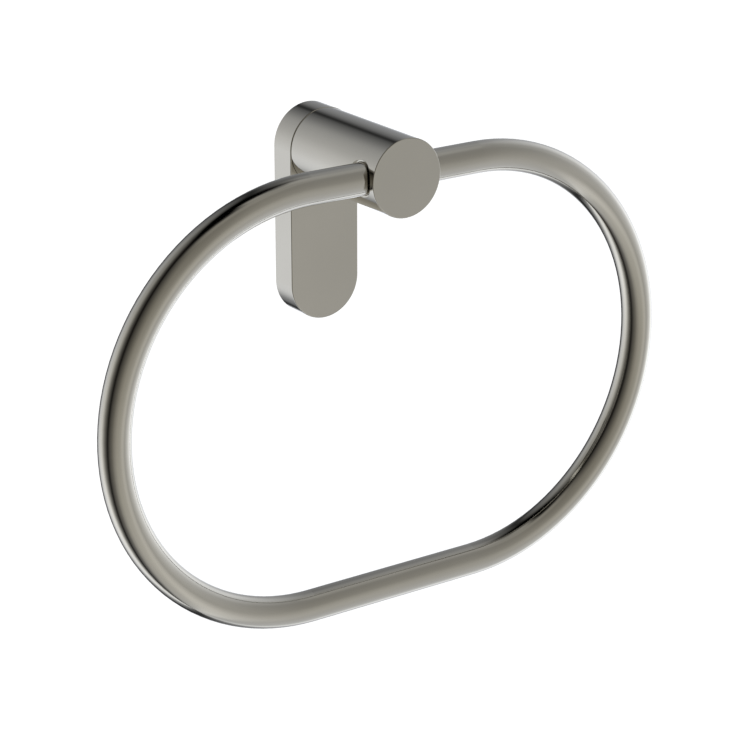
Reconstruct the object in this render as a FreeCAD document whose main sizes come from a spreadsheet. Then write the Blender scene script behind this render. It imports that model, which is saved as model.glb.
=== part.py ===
import FreeCAD, Part
import math
import os
import re
import Sketcher

# Towel ring on a wall plate: a stadium-shaped tube ring turns in the cross bore of a round post.
# Frame: the wall is the plane y = 0 and the front is -Y, +Z is up, +X is to the right.
# The origin lies on the wall, midway between the two wall screws and at the centre of the plate.

SHEET = "Size"
SIZES = [
    ("plate_width", 30.4, "wall plate, side to side"),
    ("plate_height", 83.3, "wall plate, top to bottom"),
    ("plate_depth", 11.3, "wall plate, wall to front face"),
    ("plate_side_wall", 2.0, "thickness of the plate's rim"),
    ("plate_front_wall", 2.5, "thickness of the plate's front"),
    ("plate_edge_round", 0.4, "rounding of the plate's front edge"),
    ("grub_boss", 2.0, "extra rim thickness at the bottom for the grub screw's thread"),
    ("post_diameter", 30.0, "turned post"),
    ("post_reach", 65.0, "wall to the post's front face"),
    ("post_edge_round", 0.35, "rounding of the post's front edge"),
    ("post_rear_chamfer", 0.3, "chamfer where the post meets the plate"),
    ("post_nose", 2.0, "metal ahead of the cross bore"),
    ("tube_diameter", 12.25, "ring tube, outside"),
    ("tube_wall", 1.0, "ring tube, wall thickness"),
    ("bend_radius", 81.55, "ring bends, to the middle of the tube"),
    ("straight_length", 75.0, "ring straights, between the bends"),
    ("tube_end_setback", 0.2, "tube end, behind the side of the spigot's groove"),
    ("bush_wall", 0.7, "bush, wall thickness"),
    ("bush_setback", 1.75, "bush's inner end, off the side of the dog point"),
    ("bush_recess", 0.05, "bush's outer end, below the shallowest place of the bore's rim"),
    ("bush_chamfer", 0.15, "lead-in of the bush's bore"),
    ("running_clearance", 0.05, "tube in bush, on the radius"),
    ("seat_clearance", 0.02, "fixed pieces in their holes, on the radius"),
    ("bore_rim_round", 0.15, "rounding of the cross bore's rim"),
    ("spigot_length", 26.0, "pin that joins the two tube ends"),
    ("spigot_groove_depth", 1.5, "depth of the groove round the middle of that pin"),
    ("spigot_side_play", 0.25, "dog point to each side of that groove"),
    ("spigot_chamfer", 0.5, "chamfer at the ends of that pin"),
    ("post_thread", 5.0, "threaded hole along the post"),
    ("screw_hole_clearance", 0.25, "post screw in the plate's front, on the radius"),
    ("post_screw_reach", 10.0, "post screw, length inside the post"),
    ("post_screw_head", 9.5, "post screw, head diameter"),
    ("post_screw_head_height", 2.75, "post screw, head height"),
    ("post_screw_crown", 5.6, "post screw, flat crown of the head"),
    ("post_screw_head_edge", 0.6, "post screw, upright edge of the head"),
    ("post_screw_socket", 3.0, "post screw, hexagon across flats"),
    ("post_screw_socket_depth", 1.6, "post screw, hexagon depth"),
    ("thread_end_chamfer", 0.6, "lead-in at the end of each thread"),
    ("stop_screw_length", 7.0, "stop screw, threaded part"),
    ("stop_screw_shoulder", 0.75, "stop screw, dog point inside the thread, on the radius"),
    ("stop_screw_setback", 0.4, "thread's end, behind the cross bore"),
    ("stop_screw_tip_gap", 0.1, "dog point, off the bottom of the groove"),
    ("stop_screw_socket", 2.5, "stop screw, hexagon across flats"),
    ("stop_screw_socket_depth", 2.5, "stop screw, hexagon depth"),
    ("locating_pin_diameter", 3.0, "pin that stops the post turning"),
    ("locating_pin_reach", 4.0, "that pin, length inside the post"),
    ("locating_pin_offset", 9.5, "that pin, below the post's axis"),
    ("locating_pin_chamfer", 0.3, "chamfer at the ends of that pin"),
    ("bracket_head_room", 0.4, "wall bracket, off the post screw's head"),
    ("bracket_clearance", 0.15, "wall bracket inside the plate's rim"),
    ("bracket_edge_chamfer", 0.4, "chamfer round the wall bracket's front"),
    ("wall_screw_spacing", 40.0, "between the two wall screws"),
    ("wall_screw_hole", 5.0, "hole for a wall screw"),
    ("wall_screw_sink_depth", 2.3, "depth of the right-angled countersink"),
    ("grub_thread", 4.0, "grub screw, thread"),
    ("grub_recess", 0.5, "grub screw, below the plate's bottom edge"),
    ("grub_point_depth", 1.0, "grub screw's point, inside the bracket"),
    ("grub_tip", 0.8, "grub screw, flat tip of the cone point"),
    ("grub_socket", 2.0, "grub screw, hexagon across flats"),
    ("grub_socket_depth", 1.5, "grub screw, hexagon depth"),
]

doc = FreeCAD.newDocument("towel_ring")
sheet = doc.addObject("Spreadsheet::Sheet", SHEET)
for row, (alias, size, meaning) in enumerate(SIZES, start=1):
    sheet.set(f"A{row}", meaning)
    sheet.set(f"B{row}", str(size))
    sheet.setAlias(f"B{row}", alias)
doc.recompute()

NAMES = {alias for alias, size, meaning in SIZES}


def bound(formula):
    """A formula in plain size names, with each name pointing at its cell."""
    return re.sub("[a-z_]+", lambda word: f"{SHEET}.{word[0]}" if word[0] in NAMES else word[0], formula)


def number(formula):
    return float(sheet.evalExpression(bound(formula)))


# Places that several pieces share, as formulas of the driving sizes.
POST_UP = "(plate_height - plate_width) / 2"
PLATE_LOW = "(plate_width - plate_height) / 2"
CAVITY_HALF = "(plate_width / 2 - plate_side_wall)"
CAVITY_DEPTH = "(plate_depth - plate_front_wall)"
CAVITY_LOW = f"({PLATE_LOW} + grub_boss)"
TUBE_RADIUS = "(tube_diameter / 2)"
BORE_RADIUS = "(tube_diameter / 2 + running_clearance + bush_wall + seat_clearance)"
RING_REACH = f"(post_reach - post_nose - {BORE_RADIUS})"
SPIGOT_RADIUS = "(tube_diameter / 2 - tube_wall - seat_clearance)"
SPIGOT_GROOVE_RADIUS = "(tube_diameter / 2 - tube_wall - seat_clearance - spigot_groove_depth)"
THREAD_RADIUS = "(post_thread / 2 - seat_clearance)"
DOG_RADIUS = "(post_thread / 2 - stop_screw_shoulder)"
GROOVE_HALF = f"({DOG_RADIUS} + spigot_side_play)"
TUBE_END = f"({GROOVE_HALF} + tube_end_setback)"
PIN_UP = f"({POST_UP} - locating_pin_offset)"
PIN_RADIUS = "(locating_pin_diameter / 2)"
BRACKET_HALF = f"({CAVITY_HALF} - bracket_clearance)"
BRACKET_LOW_END = f"({CAVITY_LOW} - {BRACKET_HALF})"
BRACKET_DEPTH = f"({CAVITY_DEPTH} - post_screw_head_height - bracket_head_room)"
GRUB_OUT = f"({BRACKET_DEPTH} / 2)"
GRUB_RADIUS = "(grub_thread / 2 - seat_clearance)"
GRUB_TOP = f"({BRACKET_LOW_END} + grub_point_depth)"
GRUB_CONE = f"({GRUB_RADIUS} - grub_tip / 2)"
GRUB_LOW = "(grub_recess - plate_height / 2)"


def new_body(label):
    body = doc.addObject("PartDesign::Body", label)
    body.Label = label
    return body


def new_sketch(body, name, plane, shift=("0", "0", "0")):
    """A sketch on one of the body's own planes, moved along the plane's own axes."""
    sketch = body.newObject("Sketcher::SketchObject", name)
    support = next(f for f in body.Origin.OriginFeatures if f.Role == plane)
    sketch.AttachmentSupport = [(support, "")]
    sketch.MapMode = "FlatFace"
    for axis, formula in zip("xyz", shift):
        sketch.setExpression(f"AttachmentOffset.Base.{axis}", bound(formula))
    return sketch


def fix(sketch, kind, target, formula):
    """A dimension of the sketch, driven by a formula."""
    place = sketch.addConstraint(Sketcher.Constraint(kind, *target, number(formula)))
    sketch.setExpression(f"Constraints[{place}]", bound(formula))


def fix_point(sketch, geometry, point, across, up):
    fix(sketch, "DistanceX", (-1, 1, geometry, point), across)
    fix(sketch, "DistanceY", (-1, 1, geometry, point), up)


def add_line(sketch, start, end):
    segment = Part.LineSegment(FreeCAD.Vector(*start, 0), FreeCAD.Vector(*end, 0))
    return sketch.addGeometry(segment, False)


def add_arc(sketch, centre, radius, turn_from, turn_to):
    """An arc drawn anticlockwise between two directions in degrees."""
    circle = Part.Circle(FreeCAD.Vector(*centre, 0), FreeCAD.Vector(0, 0, 1), radius)
    arc = Part.ArcOfCircle(circle, math.radians(turn_from), math.radians(turn_to))
    return sketch.addGeometry(arc, False)


def draw_polygon(sketch, corners):
    """A closed outline of straight lines through corners given as pairs of formulas."""
    points = [(number(across), number(up)) for across, up in corners]
    lines = [add_line(sketch, points[k], points[(k + 1) % len(points)]) for k in range(len(points))]
    for k, line in enumerate(lines):
        sketch.addConstraint(Sketcher.Constraint("Coincident", line, 2, lines[(k + 1) % len(lines)], 1))
    for line, (across, up) in zip(lines, corners):
        fix_point(sketch, line, 1, across, up)


def draw_circle(sketch, across, up, radius):
    centre = FreeCAD.Vector(number(across), number(up), 0)
    circle = sketch.addGeometry(Part.Circle(centre, FreeCAD.Vector(0, 0, 1), number(radius)), False)
    fix_point(sketch, circle, 3, across, up)
    fix(sketch, "Radius", (circle,), radius)


def draw_stadium(sketch, half_width, high_centre, low_centre):
    """Two half circles one above the other, joined by two upright lines."""
    half, high, low = number(half_width), number(high_centre), number(low_centre)
    top = add_arc(sketch, (0, high), half, 0, 180)
    left = add_line(sketch, (-half, high), (-half, low))
    bottom = add_arc(sketch, (0, low), half, 180, 360)
    right = add_line(sketch, (half, low), (half, high))
    for first, first_end, second, second_end in (
        (top, 2, left, 1),
        (left, 2, bottom, 1),
        (bottom, 2, right, 1),
        (right, 2, top, 1),
    ):
        sketch.addConstraint(Sketcher.Constraint("Tangent", first, first_end, second, second_end))
    sketch.addConstraint(Sketcher.Constraint("Equal", top, bottom))
    fix_point(sketch, top, 3, "0", high_centre)
    fix_point(sketch, bottom, 3, "0", low_centre)
    fix(sketch, "Radius", (top,), half_width)


def draw_hexagon(sketch, across, up, flats):
    """A hexagon socket's outline round a centre, given its size across the flats."""
    corners = []
    for turn in range(30, 390, 60):
        corners.append((
            f"{across} + {flats} / sqrt(3) * cos({turn} deg)",
            f"{up} + {flats} / sqrt(3) * sin({turn} deg)",
        ))
    draw_polygon(sketch, corners)


def pad(body, name, sketch, length):
    feature = body.newObject("PartDesign::Pad", name)
    feature.Profile = sketch
    feature.setExpression("Length", bound(length))
    return feature


def cut(body, name, sketch, depth, along_normal=True):
    """A pocket of stated depth, on the side that the sketch's normal points to unless told otherwise."""
    feature = body.newObject("PartDesign::Pocket", name)
    feature.Profile = sketch
    feature.Reversed = along_normal
    feature.setExpression("Length", bound(depth))
    return feature


def turn(body, name, sketch, axis, removes=False):
    """A turned form, or a turned cut, round one of the sketch's own axes."""
    feature = body.newObject("PartDesign::Groove" if removes else "PartDesign::Revolution", name)
    feature.Profile = sketch
    feature.ReferenceAxis = (sketch, [axis])
    feature.Angle = 360
    return feature


def edges_on(feature, test):
    """Names of the edges that lie on the wanted curve for their whole length."""
    names = []
    for count, edge in enumerate(feature.Shape.Edges, start=1):
        if all(test(point) for point in edge.discretize(5)):
            names.append(f"Edge{count}")
    return names


def dress(body, kind, name, feature, test, size):
    """A fillet or chamfer on the edges of a feature that pass a test."""
    doc.recompute()
    names = edges_on(feature, test)
    edge_work = body.newObject(f"PartDesign::{kind}", name)
    edge_work.Base = (feature, names)
    edge_work.setExpression("Radius" if kind == "Fillet" else "Size", bound(size))
    return edge_work


def near(value, target):
    return abs(value - target) < 1e-4


def make_plate():
    """The hollow wall plate, open at the back, that covers the bracket and carries the post."""
    body = new_body("wall_plate")
    outline = new_sketch(body, "plate_outline", "XZ_Plane")
    draw_stadium(outline, "plate_width / 2", POST_UP, PLATE_LOW)
    block = pad(body, "plate_block", outline, "plate_depth")
    front = -number("plate_depth")
    dress(body, "Fillet", "plate_front_edge", block, lambda p: near(p.y, front), "plate_edge_round")
    hollow = new_sketch(body, "plate_hollow_outline", "XZ_Plane")
    draw_stadium(hollow, CAVITY_HALF, POST_UP, CAVITY_LOW)
    cut(body, "plate_hollow", hollow, CAVITY_DEPTH)
    screw_hole = new_sketch(body, "post_screw_hole_outline", "XZ_Plane")
    draw_circle(screw_hole, "0", POST_UP, "post_thread / 2 + screw_hole_clearance")
    cut(body, "post_screw_hole", screw_hole, "plate_depth")
    pin_hole = new_sketch(body, "pin_hole_outline", "XZ_Plane")
    draw_circle(pin_hole, "0", PIN_UP, f"{PIN_RADIUS} + seat_clearance")
    cut(body, "pin_hole", pin_hole, "plate_depth")
    grub_hole = new_sketch(body, "grub_hole_outline", "XY_Plane")
    draw_circle(grub_hole, "0", f"0 - {GRUB_OUT}", "grub_thread / 2")
    cut(body, "grub_hole", grub_hole, "plate_height / 2", along_normal=False)
    return body


def make_post():
    """The turned post with its threaded hole from behind and the cross bore for the ring."""
    body = new_body("post")
    profile = new_sketch(body, "post_profile", "XY_Plane", ("0", "0", POST_UP))
    radius = "post_diameter / 2"
    draw_polygon(profile, [
        ("post_thread / 2", "0 - plate_depth"),
        (f"{radius} - post_rear_chamfer", "0 - plate_depth"),
        (radius, "0 - plate_depth - post_rear_chamfer"),
        (radius, "0 - post_reach"),
        ("0", "0 - post_reach"),
        ("0", f"0 - {RING_REACH}"),
        ("post_thread / 2", f"0 - {RING_REACH}"),
    ])
    stock = turn(body, "post_stock", profile, "V_Axis")
    front = -number("post_reach")
    dress(body, "Fillet", "post_front_edge", stock, lambda p: near(p.y, front), "post_edge_round")
    pin_hole = new_sketch(body, "post_pin_hole_outline", "XZ_Plane", ("0", "0", "plate_depth"))
    draw_circle(pin_hole, "0", PIN_UP, f"{PIN_RADIUS} + seat_clearance")
    cut(body, "post_pin_hole", pin_hole, "locating_pin_reach")
    bore = new_sketch(body, "cross_bore_outline", "YZ_Plane", ("0", "0", "0 - post_diameter"))
    draw_circle(bore, f"0 - {RING_REACH}", POST_UP, BORE_RADIUS)
    bored = cut(body, "cross_bore", bore, "2 * post_diameter")
    up, out = number(POST_UP), -number(RING_REACH)
    bore_radius, post_radius = number(BORE_RADIUS), number(radius)

    def on_rim(p):
        on_bore = near((p.y - out) ** 2 + (p.z - up) ** 2, bore_radius ** 2)
        return on_bore and near(p.x ** 2 + (p.z - up) ** 2, post_radius ** 2)

    dress(body, "Fillet", "bore_rim", bored, on_rim, "bore_rim_round")
    return body


def make_ring():
    """The bent tube. Its two open ends meet inside the post, with a gap between them."""
    body = new_body("ring")
    path = new_sketch(body, "ring_path", "XZ_Plane", ("0", POST_UP, RING_REACH))
    half, radius, end = number("straight_length / 2"), number("bend_radius"), number(TUBE_END)
    top_right = add_line(path, (end, 0), (half, 0))
    bend_right = add_arc(path, (half, -radius), radius, -90, 90)
    low = add_line(path, (half, -2 * radius), (-half, -2 * radius))
    bend_left = add_arc(path, (-half, -radius), radius, 90, 270)
    top_left = add_line(path, (-half, 0), (-end, 0))
    for first, first_end, second, second_end in (
        (top_right, 2, bend_right, 2),
        (bend_right, 1, low, 1),
        (low, 2, bend_left, 2),
        (bend_left, 1, top_left, 1),
    ):
        path.addConstraint(Sketcher.Constraint("Tangent", first, first_end, second, second_end))
    path.addConstraint(Sketcher.Constraint("Equal", bend_right, bend_left))
    fix_point(path, top_right, 1, TUBE_END, "0")
    fix_point(path, top_left, 2, f"0 - {TUBE_END}", "0")
    fix_point(path, bend_right, 3, "straight_length / 2", "0 - bend_radius")
    fix(path, "DistanceX", (-1, 1, bend_left, 3), "0 - straight_length / 2")
    section = new_sketch(body, "tube_section", "YZ_Plane", ("0", "0", TUBE_END))
    draw_circle(section, f"0 - {RING_REACH}", POST_UP, TUBE_RADIUS)
    draw_circle(section, f"0 - {RING_REACH}", POST_UP, f"{TUBE_RADIUS} - tube_wall")
    tube = body.newObject("PartDesign::AdditivePipe", "bent_tube")
    tube.Profile = section
    tube.Spine = (path, [])
    return body


def make_spigot():
    """The grooved pin inside both tube ends, which joins them and keeps the ring centred."""
    body = new_body("spigot")
    profile = new_sketch(body, "spigot_profile", "XZ_Plane", ("0", POST_UP, RING_REACH))
    end, chamfer_start = "spigot_length / 2", "(spigot_length / 2 - spigot_chamfer)"
    draw_polygon(profile, [
        (f"0 - {end}", "0"),
        (f"0 - {end}", f"{SPIGOT_RADIUS} - spigot_chamfer"),
        (f"0 - {chamfer_start}", SPIGOT_RADIUS),
        (f"0 - {GROOVE_HALF}", SPIGOT_RADIUS),
        (f"0 - {GROOVE_HALF}", SPIGOT_GROOVE_RADIUS),
        (GROOVE_HALF, SPIGOT_GROOVE_RADIUS),
        (GROOVE_HALF, SPIGOT_RADIUS),
        (chamfer_start, SPIGOT_RADIUS),
        (end, f"{SPIGOT_RADIUS} - spigot_chamfer"),
        (end, "0"),
    ])
    turn(body, "spigot_form", profile, "H_Axis")
    return body


def make_bush(label, side):
    """One of the two turned bushes that line the cross bore, side -1 or 1 across the post."""
    body = new_body(label)
    profile = new_sketch(body, f"{label}_profile", "XZ_Plane", ("0", POST_UP, RING_REACH))
    inner = f"({TUBE_RADIUS} + running_clearance)"
    outer = f"({BORE_RADIUS} - seat_clearance)"
    near_end = f"({DOG_RADIUS} + bush_setback)"
    far_end = f"(sqrt((post_diameter / 2) ^ 2 - {BORE_RADIUS} ^ 2) - bush_recess)"
    draw_polygon(profile, [
        (f"{side} * {near_end}", inner),
        (f"{side} * ({far_end} - bush_chamfer)", inner),
        (f"{side} * {far_end}", f"{inner} + bush_chamfer"),
        (f"{side} * {far_end}", outer),
        (f"{side} * {near_end}", outer),
    ])
    turn(body, f"{label}_form", profile, "H_Axis")
    return body


def make_post_screw():
    """The screw from inside the plate into the post, with a sloping head and a hexagon socket."""
    body = new_body("post_screw")
    profile = new_sketch(body, "post_screw_profile", "XY_Plane", ("0", "0", POST_UP))
    seat = f"(0 - {CAVITY_DEPTH})"
    rear = f"({seat} + post_screw_head_height)"
    tip = "(0 - plate_depth - post_screw_reach)"
    draw_polygon(profile, [
        ("0", rear),
        ("post_screw_crown / 2", rear),
        ("post_screw_head / 2", f"{seat} + post_screw_head_edge"),
        ("post_screw_head / 2", seat),
        (THREAD_RADIUS, seat),
        (THREAD_RADIUS, f"{tip} + thread_end_chamfer"),
        (f"{THREAD_RADIUS} - thread_end_chamfer", tip),
        ("0", tip),
    ])
    turn(body, "post_screw_form", profile, "V_Axis")
    socket = new_sketch(body, "post_screw_socket_outline", "XZ_Plane", ("0", POST_UP, f"0 - {rear}"))
    draw_hexagon(socket, "0", "0", "post_screw_socket")
    cut(body, "post_screw_socket_cut", socket, "post_screw_socket_depth")
    return body


def make_stop_screw():
    """The set screw ahead of the post screw. Its dog point runs in the spigot's groove."""
    body = new_body("stop_screw")
    profile = new_sketch(body, "stop_screw_profile", "XY_Plane", ("0", "0", POST_UP))
    shoulder = f"({BORE_RADIUS} + stop_screw_setback - {RING_REACH})"
    rear = f"({shoulder} + stop_screw_length)"
    tip = f"({SPIGOT_GROOVE_RADIUS} + stop_screw_tip_gap - {RING_REACH})"
    draw_polygon(profile, [
        ("0", rear),
        (f"{THREAD_RADIUS} - thread_end_chamfer", rear),
        (THREAD_RADIUS, f"{rear} - thread_end_chamfer"),
        (THREAD_RADIUS, f"{shoulder} + thread_end_chamfer"),
        (f"{THREAD_RADIUS} - thread_end_chamfer", shoulder),
        (DOG_RADIUS, shoulder),
        (DOG_RADIUS, tip),
        ("0", tip),
    ])
    turn(body, "stop_screw_form", profile, "V_Axis")
    socket = new_sketch(body, "stop_screw_socket_outline", "XZ_Plane", ("0", POST_UP, f"0 - {rear}"))
    draw_hexagon(socket, "0", "0", "stop_screw_socket")
    cut(body, "stop_screw_socket_cut", socket, "stop_screw_socket_depth")
    return body


def make_locating_pin():
    """The pin through the plate's front into the post, which stops the post turning."""
    body = new_body("locating_pin")
    profile = new_sketch(body, "locating_pin_profile", "XY_Plane", ("0", "0", PIN_UP))
    rear = f"(0 - {CAVITY_DEPTH})"
    tip = "(0 - plate_depth - locating_pin_reach)"
    draw_polygon(profile, [
        ("0", rear),
        (f"{PIN_RADIUS} - locating_pin_chamfer", rear),
        (PIN_RADIUS, f"{rear} - locating_pin_chamfer"),
        (PIN_RADIUS, f"{tip} + locating_pin_chamfer"),
        (f"{PIN_RADIUS} - locating_pin_chamfer", tip),
        ("0", tip),
    ])
    turn(body, "locating_pin_form", profile, "V_Axis")
    return body


def make_bracket():
    """The bracket that is screwed to the wall, with a dimple below for the grub screw's point."""
    body = new_body("wall_bracket")
    outline = new_sketch(body, "bracket_outline", "XZ_Plane")
    draw_stadium(outline, BRACKET_HALF, POST_UP, CAVITY_LOW)
    block = pad(body, "bracket_block", outline, BRACKET_DEPTH)
    front = -number(BRACKET_DEPTH)
    dress(body, "Chamfer", "bracket_edge", block, lambda p: near(p.y, front), "bracket_edge_chamfer")
    for side, word in ((1, "upper"), (-1, "lower")):
        shift = ("0", "0", f"{side} * wall_screw_spacing / 2")
        profile = new_sketch(body, f"{word}_hole_profile", "XY_Plane", shift)
        draw_polygon(profile, [
            ("0", "0"),
            ("wall_screw_hole / 2", "0"),
            ("wall_screw_hole / 2", f"wall_screw_sink_depth - {BRACKET_DEPTH}"),
            ("wall_screw_hole / 2 + wall_screw_sink_depth", f"0 - {BRACKET_DEPTH}"),
            ("0", f"0 - {BRACKET_DEPTH}"),
        ])
        turn(body, f"{word}_hole", profile, "V_Axis", removes=True)
    dimple = new_sketch(body, "dimple_profile", "XZ_Plane", ("0", "0", GRUB_OUT))
    deepest = f"({GRUB_TOP} + seat_clearance)"
    mouth = f"({BRACKET_LOW_END} - bracket_clearance)"
    draw_polygon(dimple, [
        ("0", deepest),
        ("grub_tip / 2 + seat_clearance", deepest),
        (f"grub_tip / 2 + seat_clearance + {deepest} - {mouth}", mouth),
        ("0", mouth),
    ])
    turn(body, "grub_dimple", dimple, "V_Axis", removes=True)
    return body


def make_grub_screw():
    """The grub screw at the bottom of the plate, with a cone point and a hexagon socket."""
    body = new_body("grub_screw")
    profile = new_sketch(body, "grub_screw_profile", "XZ_Plane", ("0", "0", GRUB_OUT))
    draw_polygon(profile, [
        ("0", GRUB_TOP),
        ("grub_tip / 2", GRUB_TOP),
        (GRUB_RADIUS, f"{GRUB_TOP} - {GRUB_CONE}"),
        (GRUB_RADIUS, GRUB_LOW),
        ("0", GRUB_LOW),
    ])
    turn(body, "grub_screw_form", profile, "V_Axis")
    socket = new_sketch(body, "grub_socket_outline", "XY_Plane", ("0", "0", GRUB_LOW))
    draw_hexagon(socket, "0", f"0 - {GRUB_OUT}", "grub_socket")
    cut(body, "grub_socket_cut", socket, "grub_socket_depth")
    return body


pieces = [
    make_plate(),
    make_post(),
    make_ring(),
    make_spigot(),
    make_bush("bush_left", -1),
    make_bush("bush_right", 1),
    make_post_screw(),
    make_stop_screw(),
    make_locating_pin(),
    make_bracket(),
    make_grub_screw(),
]
doc.recompute()

for item in doc.Objects:
    if "Invalid" in item.State or "Error" in item.State:
        raise RuntimeError(f"{item.Label} could not be built")
for piece in pieces:
    if piece.Shape.isNull() or not piece.Shape.isValid() or len(piece.Shape.Solids) != 1:
        raise RuntimeError(f"{piece.Label} is not one valid solid")

os.makedirs("parts", exist_ok=True)
for piece in pieces:
    piece.Shape.exportStep(f"parts/{piece.Label}.step")
    print(f"{piece.Label}: {piece.Shape.Volume / 1000:.2f} cm3")
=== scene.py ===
import math

import bpy
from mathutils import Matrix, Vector

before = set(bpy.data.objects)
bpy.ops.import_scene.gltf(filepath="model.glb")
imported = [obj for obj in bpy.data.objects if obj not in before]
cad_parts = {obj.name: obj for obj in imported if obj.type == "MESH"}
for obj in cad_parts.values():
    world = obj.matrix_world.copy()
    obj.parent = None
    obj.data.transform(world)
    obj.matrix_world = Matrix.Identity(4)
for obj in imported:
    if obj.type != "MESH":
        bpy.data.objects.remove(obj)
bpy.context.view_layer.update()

# Camera. Its lens and sensor are in millimetres, and the rest is in metres in the part's frame, where the wall is
# the plane y = 0 and -Y points away from it
CAMERA_PLACE = (-0.535585, -0.813806, 0.287675)
CAMERA_TARGET = (0.0102287, -0.030, -0.0618443)
CAMERA_LENS = 126.786
CAMERA_SENSOR = 36.0
CAMERA_NEAR = 0.05
CAMERA_FAR = 100.0

# Stage: a wide floor far below the part. The lift is the floor's own light for the camera, which keeps it pale
FLOOR_DROP = 1.05
FLOOR_SIZE = 60.0
FLOOR_PALE = (0.86, 0.86, 0.86, 1.0)
FLOOR_ROUGHNESS = 0.9
FLOOR_LIFT = 0.80
WHITE = (1.0, 1.0, 1.0, 1.0)

# Plated finish of the plate, the post, the bushes and the ring. The tone makes all but the ring a shade deeper
SATIN_DARK = (0.439, 0.422, 0.375, 1.0)
SATIN_LIGHT = (0.455, 0.437, 0.388, 1.0)
BRACKET_TONE = 0.965
SATIN_ROUGHNESS = (0.08, 0.12)

# Bare metals of the hidden pieces, each with its darker tone, its lighter tone and its range of roughness
STEEL = ((0.50, 0.50, 0.50, 1.0), (0.60, 0.60, 0.59, 1.0), (0.22, 0.34))
BRASS = ((0.66, 0.47, 0.20, 1.0), (0.76, 0.56, 0.27, 1.0), (0.20, 0.32))
ZINC = ((0.36, 0.37, 0.38, 1.0), (0.46, 0.47, 0.48, 1.0), (0.42, 0.58))

# Noise as pairs of scale and detail: the fine grain of each surface, and the clouds in its colour
SATIN_GRAIN = (9000.0, 2.0)
MACHINED_GRAIN = (2500.0, 4.0)
CAST_GRAIN = (1200.0, 4.0)
SATIN_CLOUDS = (45.0, 4.0)
BARE_CLOUDS = (160.0, 3.0)

# How far the fine grain stands out, as pairs of distance in metres and strength
SATIN_RELIEF = (0.000001, 0.6)
MACHINED_RELIEF = (0.000004, 1.0)
CAST_RELIEF = (0.00003, 1.0)

# How the fine grain is stretched: it is drawn out along the axes where the number is small
EVEN = (1.0, 1.0, 1.0)
UP_THE_PLATE = (1.0, 1.0, 0.05)
ALONG_THE_POST = (1.0, 0.4, 1.0)
IN_THE_RING_PLANE = (0.3, 1.0, 0.3)
ACROSS_THE_BORE = (1.0, 0.4, 0.4)

# The span round 0.5 that a noise value mostly keeps to
NOISE_LOW = 0.3
NOISE_HIGH = 0.7

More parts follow.
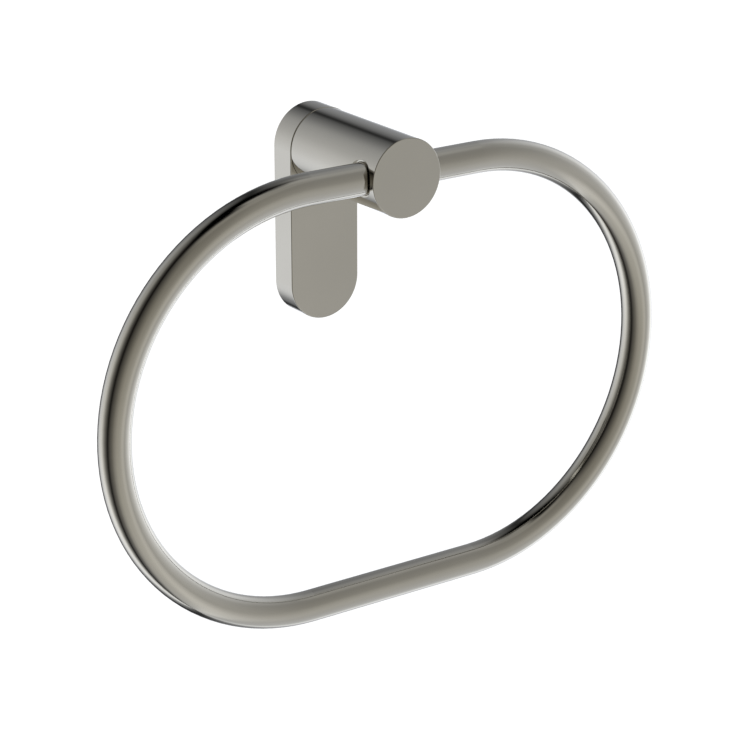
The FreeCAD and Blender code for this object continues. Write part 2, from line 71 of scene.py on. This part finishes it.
# The studio round the object, as soft upright panels of light. Azimuth 0 is the way the object faces (-Y), 90 is
# +X and 180 is behind it. Each panel has its middle azimuth, its share of light beside the middle (pairs of offset
# and share), and its strength from below upwards (pairs of elevation and strength). They are set so that the
# bands that the metal mirrors lie where the photograph has them.
STUDIO = {
    "left_softbox": (
        -137,
        ((-52, 0), (-45, 0.10), (-40, 0.18), (-33, 0.37), (-25, 0.62), (-18, 0.84), (-10, 0.95), (5, 1),
         (10, 0.98), (20, 0.70), (30, 0.40), (38, 0.23), (47, 0.11), (54, 0.045), (60, 0.01), (66, 0)),
        ((-90, 0.50), (-80, 0.68), (-57, 0.66), (-44, 0.69), (-30, 0.63), (-18, 0.56), (-8, 0.49), (5, 0.43),
         (25, 0.30), (45, 0.19), (60, 0.09), (72, 0)),
    ),
    "left_spill": (
        -172,
        ((-27, 0), (-24, 0.20), (-20, 0.60), (-15, 0.80), (-4, 1), (4, 0.97), (10, 0.8), (16, 0.45),
         (21, 0.25), (28, 0)),
        ((-12, 0), (-3, 0.03), (9, 0.08), (20, 0.135), (30, 0.125), (50, 0.085), (60, 0.045), (70, 0)),
    ),
    "left_spill_low": (
        -156,
        ((-18, 0), (-10, 0.7), (4, 1), (10, 0.4), (16, 0)),
        ((-26, 0), (-16, 0.04), (-6, 0.07), (4, 0.05), (16, 0)),
    ),
    "front_wall": (
        40,
        ((-118, 0), (-113, 0.06), (-106, 0.17), (-96, 0.28), (-87, 0.38), (-67, 0.66), (-57, 0.78),
         (-47, 0.79), (-33, 0.82), (-20, 0.97), (84, 1), (90, 0.84), (101, 0.48), (113, 0.24), (119, 0.10),
         (125, 0.03), (130, 0)),
        ((-90, 0.37), (-65, 0.345), (-45, 0.325), (-25, 0.295), (0, 0.245), (20, 0.20), (40, 0.175),
         (55, 0.17), (61, 0.10), (68, 0.02), (72, 0)),
    ),
    "front_top": (
        0,
        ((-80, 0), (-60, 0.1), (-45, 0.5), (-25, 0.9), (0, 1), (55, 1), (70, 1.4), (90, 1.5), (100, 0.9),
         (112, 0)),
        ((50, 0), (56, 0.04), (62, 0.10), (66, 0.12), (70, 0.06), (75, 0.01), (80, 0)),
    ),
    "floor_glow": (
        22,
        ((-70, 0), (-60, 0.25), (-30, 0.3), (-20, 0.45), (-14, 0.65), (-8, 0.9), (-2, 0.95), (3, 0.9),
         (8, 0.7), (12, 0.3), (16, 0)),
        ((-90, 0.13), (-70, 0.18), (-57, 0.145), (-45, 0.12), (-27, 0.075), (-15, 0.06), (-5, 0.05),
         (5, 0.03), (15, 0)),
    ),
    "floor_glow_wide": (
        0,
        ((-45, 0), (-20, 0.5), (0, 1), (20, 0.7), (40, 0)),
        ((-62, 0), (-42, 0.04), (-27, 0.025), (0, 0)),
    ),
    "overhead": (
        45,
        ((-60, 0), (-42, 0.25), (-30, 0.65), (-22, 1), (8, 1), (22, 0.55), (42, 0.15), (55, 0)),
        ((62, 0), (66, 0.04), (71, 0.13), (75, 0.20), (80, 0.17), (85, 0.10), (90, 0.03)),
    ),
    "right_softbox": (
        96,
        ((-24, 0), (-15, 0.28), (-9, 0.70), (-3, 1), (3, 1), (9, 0.85), (15, 0.62), (21, 0.42), (27, 0.14),
         (33, 0)),
        ((-90, 0.02), (-70, 0.10), (-58, 0.15), (-50, 0.29), (-42, 0.38), (-30, 0.37), (-20, 0.34),
         (-8, 0.34), (2, 0.25), (10, 0.12), (20, 0.03), (28, 0)),
    ),
    "right_softbox_wide": (
        82,
        ((-46, 0), (-38, 0.15), (-32, 0.28), (-25, 0.45), (-13, 0.85), (-5, 0.97), (2, 0.70), (11, 0.60),
         (19, 0.58), (27, 0.4), (35, 0)),
        ((-72, 0), (-58, 0.06), (-46, 0.08), (-36, 0.19), (-22, 0.34), (-10, 0.26), (0, 0.17), (10, 0.12),
         (20, 0.08), (30, 0.04), (52, 0.02), (66, 0)),
    ),
    "right_softbox_top": (
        108,
        ((-42, 0), (-33, 0.2), (-21, 0.4), (-15, 0.65), (-9, 0.85), (3, 1), (9, 0.95), (15, 0.70),
         (21, 0.48), (33, 0.32), (45, 0.26), (49, 0.12), (53, 0)),
        ((-20, 0), (0, 0.12), (10, 0.23), (20, 0.28), (30, 0.20), (40, 0.13), (50, 0.05), (60, 0.03),
         (68, 0)),
    ),
    "right_low": (
        116,
        ((-22, 0), (-18, 0.15), (-14, 0.7), (-10, 0.95), (-2, 1), (4, 0.8), (8, 0.45), (13, 0.1), (17, 0)),
        ((-90, 0.02), (-80, 0.06), (-70, 0.14), (-58, 0.16), (-48, 0.08), (-38, 0)),
    ),
    "right_edge": (
        87,
        ((-12, 0), (-6, 0.8), (0, 1), (5, 0.6), (10, 0)),
        ((-60, 0), (-48, 0.09), (-36, 0.16), (-26, 0.14), (-14, 0.05), (-6, 0)),
    ),
    "backdrop": (
        140,
        ((-26, 0), (-16, 0.5), (-8, 0.9), (0, 1), (8, 1), (14, 0.6), (19, 0.15), (23, 0)),
        ((-50, 0), (-46, 0.07), (-38, 0.30), (-28, 0.42), (-12, 0.42), (-4, 0.15), (3, 0.02), (8, 0)),
    ),
    "behind_low": (
        176,
        ((-12, 0), (-7, 0.6), (-3, 1), (3, 0.9), (8, 0.4), (13, 0)),
        ((-90, 0.02), (-82, 0.05), (-62, 0.06), (-52, 0.02), (-44, 0.03), (-38, 0.07), (-33, 0.03),
         (-28, 0)),
    ),
}

# A strength of 0.42 in these panels is the world's strength 1
STUDIO_GAIN = 1.0 / 0.42

# The light from the camera's side is a little warmer than the light from the other sides. It is warmest in the
# direction given here, and coolest where that direction's dot product with it is COOL_FROM or less
WARM_AZIMUTH = math.radians(-35.0)
WARM_ELEVATION = math.radians(20.0)
WARM_LIGHT = (1.045, 1.0, 0.895, 1.0)
COOL_LIGHT = (0.97, 1.0, 1.07, 1.0)
COOL_FROM = -0.5


def node_of(tree, kind, **values):
    """A new shader node with its properties set."""
    made = tree.nodes.new(kind)
    for name, value in values.items():
        setattr(made, name, value)
    return made


def feed(tree, socket, value):
    """Links a socket to value if that is a socket, or sets the value on it."""
    if isinstance(value, bpy.types.NodeSocket):
        tree.links.new(value, socket)
    else:
        socket.default_value = value


def maths(tree, operation, *values):
    """A Math node's result."""
    made = node_of(tree, "ShaderNodeMath", operation=operation)
    for socket, value in zip(made.inputs, values):
        feed(tree, socket, value)
    return made.outputs[0]


def mixed(tree, share, first, second):
    """A colour from first to second, by a share from 0 to 1."""
    mix = node_of(tree, "ShaderNodeMix", data_type="RGBA")
    colours = [socket for socket in mix.inputs if socket.type == "RGBA"]
    feed(tree, mix.inputs[0], share)
    feed(tree, colours[0], first)
    feed(tree, colours[1], second)
    return next(socket for socket in mix.outputs if socket.type == "RGBA")


def profile(tree, place, stops, low, high):
    """A brightness for each place from low to high, by pairs of place and brightness."""
    made = node_of(tree, "ShaderNodeValToRGB")
    elements = made.color_ramp.elements
    elements.remove(elements[1])
    shares = [(at - low) / (high - low) for at, _ in stops]
    elements[0].position = shares[0]
    for share in shares[1:]:
        elements.new(share)
    for element, (_, value) in zip(elements, stops):
        element.color = (value, value, value, 1.0)
    feed(tree, made.inputs["Fac"], maths(tree, "DIVIDE", maths(tree, "SUBTRACT", place, low), high - low))
    return made.outputs["Color"]


def studio_panel(tree, azimuth, elevation, middle, beside, upwards):
    """One soft upright panel as a strength for each direction."""
    offset = maths(tree, "WRAP", maths(tree, "SUBTRACT", azimuth, float(middle)), 180.0, -180.0)
    return maths(tree, "MULTIPLY", profile(tree, offset, beside, -180.0, 180.0),
                 profile(tree, elevation, upwards, -90.0, 90.0))


def warmth(tree, direction):
    """The studio's tint, from warm round the camera's side to cool on the other."""
    dot = node_of(tree, "ShaderNodeVectorMath", operation="DOT_PRODUCT")
    feed(tree, dot.inputs[0], direction)
    dot.inputs[1].default_value = (
        math.sin(WARM_AZIMUTH) * math.cos(WARM_ELEVATION),
        -math.cos(WARM_AZIMUTH) * math.cos(WARM_ELEVATION),
        math.sin(WARM_ELEVATION),
    )
    share = node_of(tree, "ShaderNodeMapRange")
    share.inputs["From Min"].default_value = COOL_FROM
    feed(tree, share.inputs["Value"], dot.outputs["Value"])
    return mixed(tree, share.outputs["Result"], COOL_LIGHT, WARM_LIGHT)


def make_world():
    """A plain white surround for the camera, and the soft studio as the light and as what the metal shows."""
    world = bpy.data.worlds.new("studio")
    bpy.context.scene.world = world
    world.use_nodes = True
    tree = world.node_tree
    tree.nodes.clear()
    direction = node_of(tree, "ShaderNodeTexCoord").outputs["Generated"]
    parts = node_of(tree, "ShaderNodeSeparateXYZ")
    feed(tree, parts.inputs[0], direction)
    right, back, up = parts.outputs
    front = maths(tree, "MULTIPLY", back, -1.0)
    azimuth = maths(tree, "DEGREES", maths(tree, "ARCTAN2", right, front))
    level = maths(tree, "MINIMUM", maths(tree, "MAXIMUM", up, -1.0), 1.0)
    elevation = maths(tree, "DEGREES", maths(tree, "ARCSINE", level))
    total = 0.0
    for middle, beside, upwards in STUDIO.values():
        total = maths(tree, "ADD", total, studio_panel(tree, azimuth, elevation, middle, beside, upwards))
    studio = node_of(tree, "ShaderNodeBackground")
    feed(tree, studio.inputs["Color"], warmth(tree, direction))
    feed(tree, studio.inputs["Strength"], maths(tree, "MULTIPLY", total, STUDIO_GAIN))
    white = node_of(tree, "ShaderNodeBackground")
    white.inputs["Color"].default_value = WHITE
    # Glossy rays get the studio, because with plain white the metal would lose all its bands
    rays = node_of(tree, "ShaderNodeLightPath")
    seen = maths(tree, "MAXIMUM", rays.outputs["Is Camera Ray"], rays.outputs["Is Transmission Ray"])
    mix = node_of(tree, "ShaderNodeMixShader")
    feed(tree, mix.inputs[0], seen)
    feed(tree, mix.inputs[1], studio.outputs[0])
    feed(tree, mix.inputs[2], white.outputs[0])
    out = node_of(tree, "ShaderNodeOutputWorld")
    feed(tree, out.inputs["Surface"], mix.outputs[0])


def new_material(name):
    """A material with an empty tree: returns it, its tree, its Principled shader and its output."""
    made = bpy.data.materials.new(name)
    made.use_nodes = True
    tree = made.node_tree
    tree.nodes.clear()
    shader = node_of(tree, "ShaderNodeBsdfPrincipled")
    out = node_of(tree, "ShaderNodeOutputMaterial")
    feed(tree, out.inputs["Surface"], shader.outputs[0])
    return made, tree, shader, out


def make_floor():
    """A plain pale floor far below, which reflections don't show."""
    made, tree, shader, out = new_material("pale_floor")
    shader.inputs["Base Color"].default_value = FLOOR_PALE
    shader.inputs["Roughness"].default_value = FLOOR_ROUGHNESS
    lift = node_of(tree, "ShaderNodeEmission")
    lift.inputs["Color"].default_value = WHITE
    rays = node_of(tree, "ShaderNodeLightPath")
    feed(tree, lift.inputs["Strength"], maths(tree, "MULTIPLY", rays.outputs["Is Camera Ray"], FLOOR_LIFT))
    both = node_of(tree, "ShaderNodeAddShader")
    feed(tree, both.inputs[0], shader.outputs[0])
    feed(tree, both.inputs[1], lift.outputs[0])
    feed(tree, out.inputs["Surface"], both.outputs[0])
    half = FLOOR_SIZE / 2
    corners = [(x * half, y * half, -FLOOR_DROP) for x, y in ((-1, -1), (1, -1), (1, 1), (-1, 1))]
    mesh = bpy.data.meshes.new("floor")
    mesh.from_pydata(corners, [], [(0, 1, 2, 3)])
    mesh.materials.append(made)
    floor = bpy.data.objects.new("floor", mesh)
    floor.visible_glossy = False
    bpy.context.scene.collection.objects.link(floor)


def make_camera():
    """The camera at the photograph's place and angle of view."""
    data = bpy.data.cameras.new("camera")
    data.lens = CAMERA_LENS
    data.sensor_width = CAMERA_SENSOR
    data.clip_start = CAMERA_NEAR
    data.clip_end = CAMERA_FAR
    camera = bpy.data.objects.new("camera", data)
    camera.location = CAMERA_PLACE
    aim = Vector(CAMERA_TARGET) - Vector(CAMERA_PLACE)
    camera.rotation_mode = "QUATERNION"
    camera.rotation_quaternion = aim.to_track_quat("-Z", "Y")
    bpy.context.scene.collection.objects.link(camera)
    bpy.context.scene.camera = camera


def grain(tree, stretch, scale, detail):
    """Noise drawn out along the axes where stretch is small, as a value round 0.5."""
    place = node_of(tree, "ShaderNodeTexCoord").outputs["Object"]
    mapping = node_of(tree, "ShaderNodeMapping")
    mapping.inputs["Scale"].default_value = stretch
    feed(tree, mapping.inputs["Vector"], place)
    noise = node_of(tree, "ShaderNodeTexNoise")
    noise.inputs["Scale"].default_value = scale
    noise.inputs["Detail"].default_value = detail
    feed(tree, noise.inputs["Vector"], mapping.outputs[0])
    return noise.outputs["Fac"]


def spread_of(tree, value, low, high):
    """A noise value taken to the range from low to high."""
    made = node_of(tree, "ShaderNodeMapRange")
    for name, number in (("From Min", NOISE_LOW), ("From Max", NOISE_HIGH), ("To Min", low), ("To Max", high)):
        made.inputs[name].default_value = number
    feed(tree, made.inputs["Value"], value)
    return made.outputs["Result"]


def bump(tree, height, distance, strength):
    """A Bump node's normal, for a height that is counted in distances."""
    made = node_of(tree, "ShaderNodeBump")
    made.inputs["Strength"].default_value = strength
    made.inputs["Distance"].default_value = distance
    feed(tree, made.inputs["Height"], height)
    return made.outputs[0]


def metal(name, dark, light, roughness, stretch, fine, clouds, relief):
    """A metal in two cloudy tones, with a fine grain in its roughness and its normal."""
    made, tree, shader, _ = new_material(name)
    fine_grain = grain(tree, stretch, *fine)
    cloudy = spread_of(tree, grain(tree, EVEN, *clouds), 0.0, 1.0)
    feed(tree, shader.inputs["Base Color"], mixed(tree, cloudy, dark, light))
    feed(tree, shader.inputs["Roughness"], spread_of(tree, fine_grain, *roughness))
    feed(tree, shader.inputs["Normal"], bump(tree, fine_grain, *relief))
    shader.inputs["Metallic"].default_value = 1.0
    return made


def shaded(colour, tone):
    """A colour with its strength multiplied by tone."""
    return tuple(part * tone for part in colour[:3]) + (1.0,)


def satin_metal(name, stretch, tone=1.0):
    """Warm grey plated metal: a fine grain drawn out by stretch, faint clouds and a smooth gloss."""
    return metal(name, shaded(SATIN_DARK, tone), shaded(SATIN_LIGHT, tone), SATIN_ROUGHNESS, stretch,
                 SATIN_GRAIN, SATIN_CLOUDS, SATIN_RELIEF)


def bare_metal(name, kind, fine, relief):
    """Unplated metal of a hidden piece: machined or cast grain in two tones."""
    return metal(name, *kind, EVEN, fine, BARE_CLOUDS, relief)


def dress_nodes():
    """A finish for every CAD node."""
    steel = bare_metal("stainless", STEEL, MACHINED_GRAIN, MACHINED_RELIEF)
    bush = satin_metal("satin_bush", ACROSS_THE_BORE, BRACKET_TONE)
    finishes = {
        "wall_plate": satin_metal("satin_plate", UP_THE_PLATE, BRACKET_TONE),
        "post": satin_metal("satin_post", ALONG_THE_POST, BRACKET_TONE),
        "ring": satin_metal("satin_ring", IN_THE_RING_PLANE),
        "bush_left": bush,
        "bush_right": bush,
        "spigot": bare_metal("turned_brass", BRASS, MACHINED_GRAIN, MACHINED_RELIEF),
        "wall_bracket": bare_metal("cast_zinc", ZINC, CAST_GRAIN, CAST_RELIEF),
        "post_screw": steel,
        "stop_screw": steel,
        "locating_pin": steel,
        "grub_screw": steel,
    }
    for name, finish in finishes.items():
        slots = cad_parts[name].data.materials
        for index in range(len(slots)):
            slots[index] = finish


bpy.context.scene.view_settings.view_transform = "Standard"
make_camera()
make_world()
make_floor()
dress_nodes()
